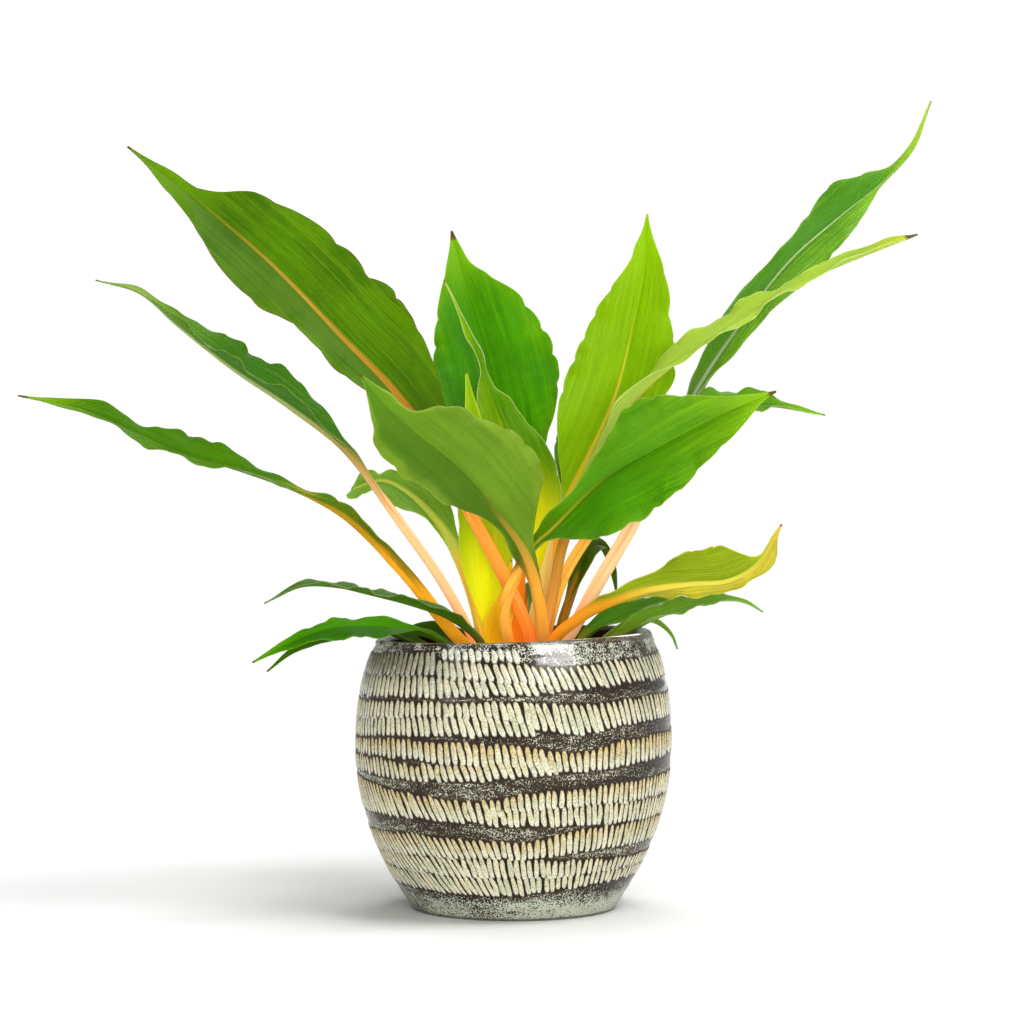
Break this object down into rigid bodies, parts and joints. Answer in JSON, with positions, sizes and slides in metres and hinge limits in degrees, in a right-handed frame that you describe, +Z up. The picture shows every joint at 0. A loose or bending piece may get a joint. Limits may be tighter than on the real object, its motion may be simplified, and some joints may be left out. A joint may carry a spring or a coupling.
{
  "type": "potted spider plant",
  "caption": "Leafy houseplant with broad lance-shaped leaves on channelled orange stalks, standing in soil in a round-bellied glazed stoneware pot.",
  "frame": {"origin": "centre of the pot's flat foot", "axes": "+Z up, +X to the right as seen from the front, and the front of the plant towards -Y"},
  "size_m": [0.4429, 0.3036, 0.3903],
  "materials": {
    "pot_glaze": "gloss",
    "soil": "matte",
    "leaf": "satin",
    "leaf_lime": "satin",
    "leaf_dark": "satin",
    "leaf_yellow": "satin"
  },
  "bodies": {
    "root": {"pot": "pot_glaze", "soil": "soil", "leaf_left_high": "leaf", "leaf_left_middle": "leaf", "leaf_left_low": "leaf", "leaf_left_back": "leaf", "leaf_front_left": "leaf", "leaf_front_right": "leaf", "leaf_back_tall": "leaf", "leaf_lime_tall": "leaf_lime", "leaf_right_curved": "leaf_lime", "leaf_right_high": "leaf", "leaf_right_back": "leaf", "leaf_right_keeled": "leaf", "leaf_low_right_upper": "leaf_dark", "leaf_low_right": "leaf_dark", "leaf_low_right_small": "leaf_dark", "leaf_low_left_upper": "leaf_dark", "leaf_low_left": "leaf_dark", "leaf_low_left_under": "leaf_dark", "leaf_low_left_inner": "leaf_dark", "leaf_lime_centre": "leaf_lime", "leaf_young_yellow": "leaf_yellow", "leaf_sheath_golden": "leaf_yellow", "leaf_sheath_pale": "leaf_yellow", "leaf_back_drooping": "leaf_dark", "leaf_back_left": "leaf", "leaf_back_right": "leaf", "leaf_back_low": "leaf_dark"}
  },
  "joints": []
}
